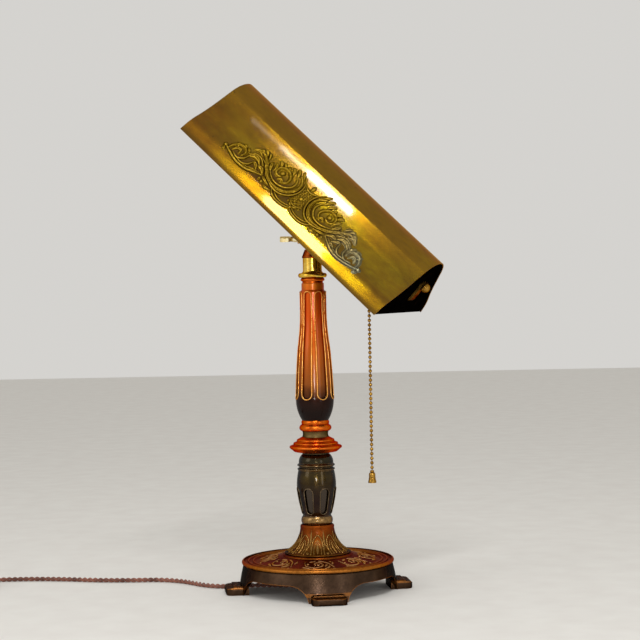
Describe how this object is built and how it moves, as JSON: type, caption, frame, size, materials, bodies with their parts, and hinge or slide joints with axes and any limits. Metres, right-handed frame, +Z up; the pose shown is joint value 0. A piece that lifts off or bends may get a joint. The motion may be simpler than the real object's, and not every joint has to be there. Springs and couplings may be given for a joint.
{
  "type": "bankers lamp",
  "caption": "Desk lamp with a tilting, turning brass trough shade on a fluted metal stem, four-footed cast base, ball pull chain and twisted cloth cord.",
  "frame": {"origin": "where the stem's axis meets the table, in the plane of the four feet's undersides", "axes": "+Z up along the stem, -Y towards the viewer, +X to the viewer's right"},
  "size_m": [0.5148, 0.1918, 0.4793],
  "materials": {
    "brass": "aged brass",
    "bronze": "reddish bronze plating, golden where it is rubbed",
    "bulb": "clear glass",
    "cast": "dark bronze patina, rubbed gold on the raised edges",
    "copper": "polished copper-coloured plating",
    "cord": "twisted cloth-covered flex",
    "fibre": "fibre disc",
    "plug": "moulded dark brown",
    "porcelain": "glazed",
    "shade_brass": "aged brass, olive gold, satin",
    "steel": "dull plain metal"
  },
  "bodies": {
    "stand": {"base_casting": "cast", "base_bell": "cast", "lower_vase": "cast", "stepped_disc": "copper", "neck_spacer": "steel", "bead_ring": "copper", "fluted_column": "bronze", "check_ring": "copper", "swivel_barrel": "brass", "barrel_cap": "copper", "centre_pipe": "steel", "pipe_washer": "steel", "pipe_nut": "steel", "cord_bushing": "plug", "riser_lead": "cord", "cord_run": "cord", "cord_coil": "cord", "cord_tail": "cord", "plug_body": "plug", "plug_blades": "brass"},
    "thumb_key": {"thumb_key": "brass"},
    "head": {"swivel_post": "brass", "friction_discs": "fibre", "post_lead": "cord"},
    "shade": {"shade_shell": "shade_brass", "end_plate_left": "shade_brass", "end_plate_right": "shade_brass", "carrier_bar": "brass", "tilt_fork": "brass", "bar_rivets": "brass", "pivot_tube": "brass", "pivot_nut": "brass", "socket_screw": "brass", "socket_spacer": "brass", "end_screw": "brass", "end_screw_nut": "brass", "socket_cap": "brass", "socket_shell": "brass", "chain_outlet": "brass", "socket_interior": "porcelain", "screw_shell": "brass", "centre_contact": "brass", "bulb_base": "brass", "bulb_glass": "bulb", "bulb_stem": "bulb", "socket_lead": "cord"},
    "switch_lever": {"switch_lever": "steel"},
    "chain_guide": {"chain_guide": "brass"},
    "pull_chain": {"pull_chain": "brass", "chain_bell": "brass"}
  },
  "joints": [
    {"name": "head_turn", "type": "hinge", "parent": "stand", "child": "head", "pos_m": [0, 0, 0.32], "axis": [0, 0, 1], "range_deg": [-120, 120]},
    {"name": "shade_tilt", "type": "hinge", "parent": "head", "child": "shade", "pos_m": [0, 0, 0.346], "axis": [0.373, 0.9278, 0], "range_deg": [-80, 10]},
    {"name": "chain_swing", "type": "hinge", "parent": "shade", "child": "chain_guide", "pos_m": [0.05123, -0.04808, 0.32515], "axis": [0.373, 0.9278, 0], "range_deg": [-10, 80]},
    {"name": "chain_pull", "type": "slide", "parent": "chain_guide", "child": "pull_chain", "axis": [0, 0, -1], "range_m": [0, 0.006], "stiffness_N_per_m": 600},
    {"name": "lever_turn", "type": "hinge", "parent": "shade", "child": "switch_lever", "pos_m": [0.06074, -0.02442, 0.32515], "axis": [0.6786, -0.2728, -0.682], "range_deg": [0, 40]},
    {"name": "key_turn", "type": "hinge", "parent": "stand", "child": "thumb_key", "pos_m": [-0.012, 0, 0.3305], "axis": [-1, 0, 0], "range_deg": [0, 180]}
  ],
  "couplings": [
    {"joint": "chain_swing", "follows": "shade_tilt", "ratio": -1},
    {"joint": "lever_turn", "follows": "chain_pull", "rad_per_m": 113.64}
  ]
}
